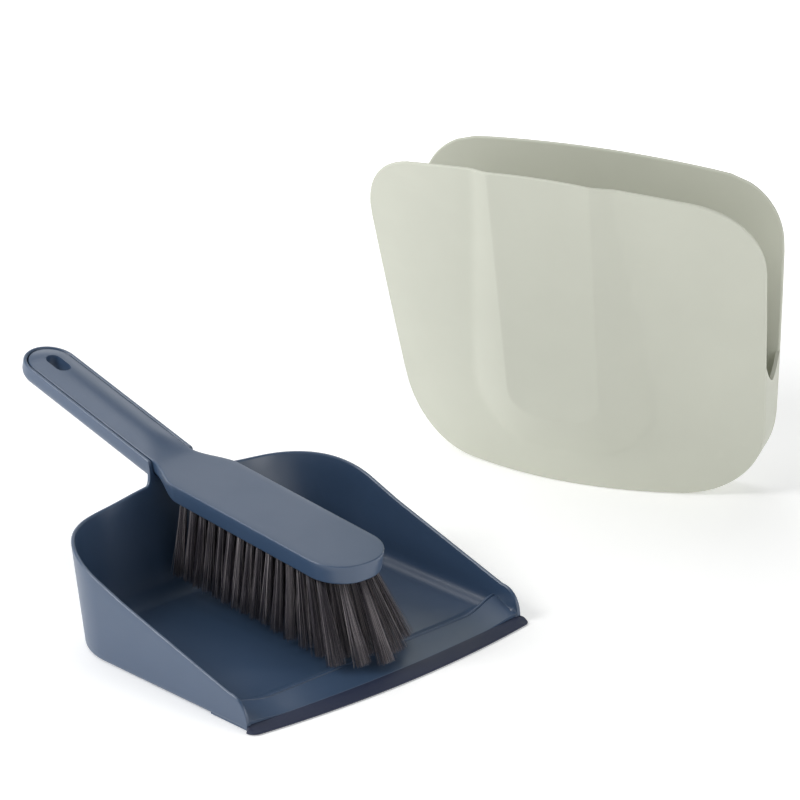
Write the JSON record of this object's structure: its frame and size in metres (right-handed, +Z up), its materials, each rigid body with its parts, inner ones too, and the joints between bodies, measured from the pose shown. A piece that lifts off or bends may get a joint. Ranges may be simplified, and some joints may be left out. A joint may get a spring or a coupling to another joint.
{
  "type": "dustpan and brush",
  "caption": "Dustpan with a trough handle and rubber lip, a hand brush that nests in the trough, and a wall pocket that holds both.",
  "frame": {"origin": "on the floor, on the symmetry plane of the dustpan, where its side walls end at the mouth", "axes": "+Z up, +Y from the mouth towards the handle, +X to the right as seen from the mouth's side looking along +Y"},
  "size_m": [0.4838, 0.3364, 0.2234],
  "materials": {
    "slate_plastic": "satin moulded polypropylene",
    "navy_rubber": "smooth soft rubber",
    "bristle": "fine straight filaments",
    "anchor_steel": "plain wire strip",
    "sage_plastic": "fine matt moulded polypropylene"
  },
  "bodies": {
    "dustpan": {"dustpan_body": "slate_plastic", "rubber_lip": "navy_rubber"},
    "brush": {"brush_body": "slate_plastic", "tuft_row_1": "bristle", "tuft_row_2": "bristle", "tuft_row_3": "bristle", "tuft_row_4": "bristle", "tuft_row_5": "bristle", "tuft_anchors": "anchor_steel"},
    "holder": {"holder_shell": "sage_plastic"}
  },
  "joints": [
    {"name": "brush_lift", "type": "slide", "parent": "dustpan", "child": "brush", "axis": [0, -0.247, 0.969], "range_m": [0, 0.12]},
    {"name": "holder_lift", "type": "slide", "parent": "dustpan", "child": "holder", "axis": [0, 0, 1], "range_m": [0, 0.15]}
  ]
}
